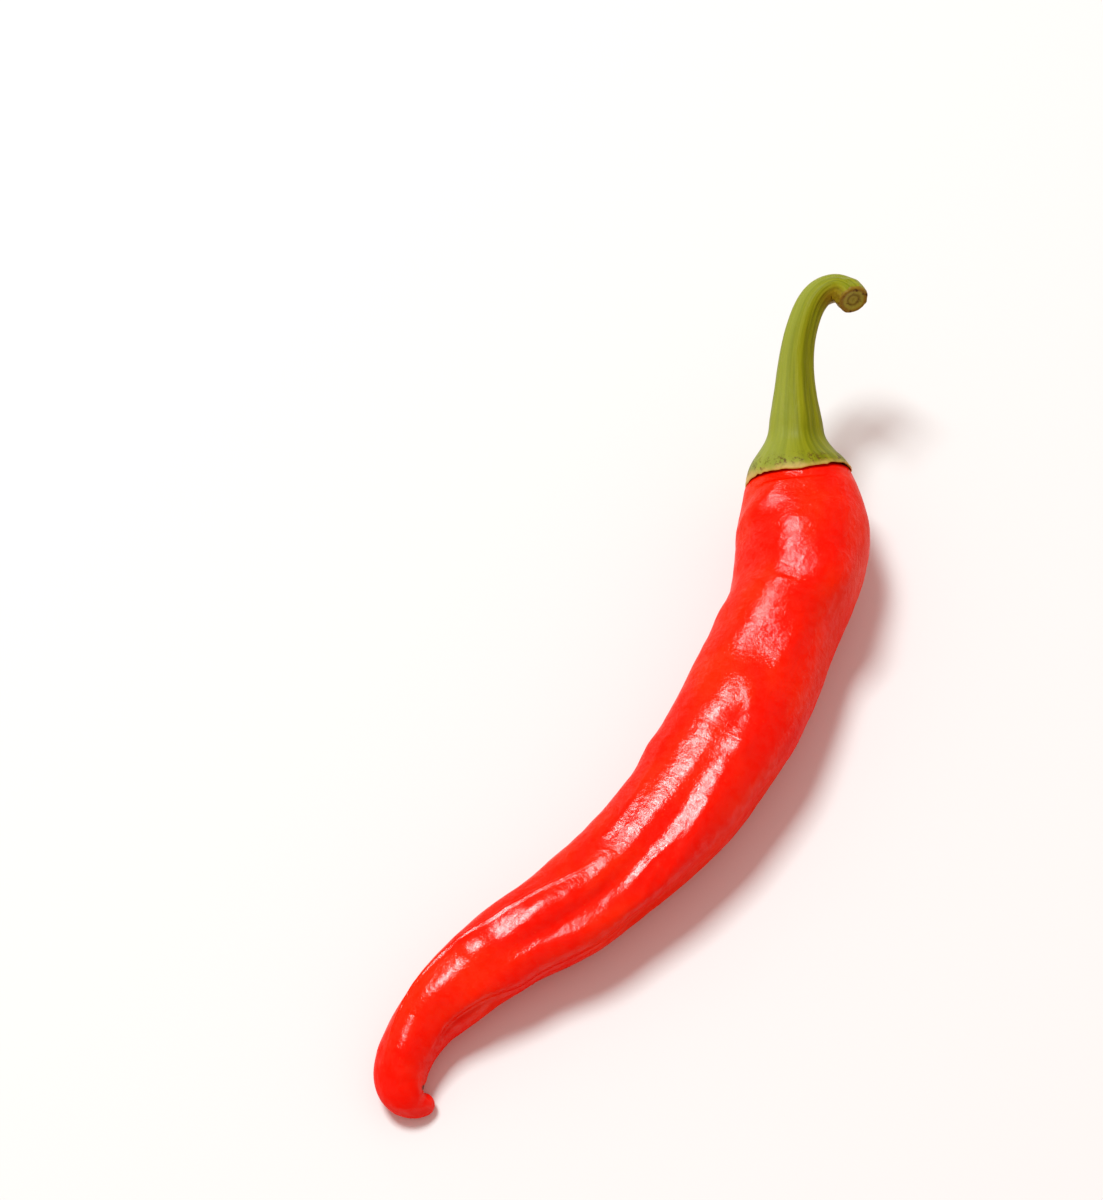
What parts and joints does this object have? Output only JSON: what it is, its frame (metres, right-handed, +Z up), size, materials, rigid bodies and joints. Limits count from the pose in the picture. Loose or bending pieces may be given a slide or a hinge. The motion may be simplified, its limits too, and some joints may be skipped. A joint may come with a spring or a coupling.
{
  "type": "chilli pepper",
  "caption": "Long red chilli pepper lying on its side: a curved glossy pod with a hooked tip, and a green flared calyx that runs up into a hooked stalk with a cut end.",
  "frame": {"origin": "middle of the pepper's footprint, on the surface that it lies on", "axes": "+X along the pepper from its tip towards its stem, +Z up, +Y towards the back of its curve"},
  "size_m": [0.171, 0.0444, 0.037],
  "materials": {
    "red_skin": "gloss",
    "green_stem": "satin"
  },
  "bodies": {
    "root": {"pod": "red_skin", "stem": "green_stem"}
  },
  "joints": []
}
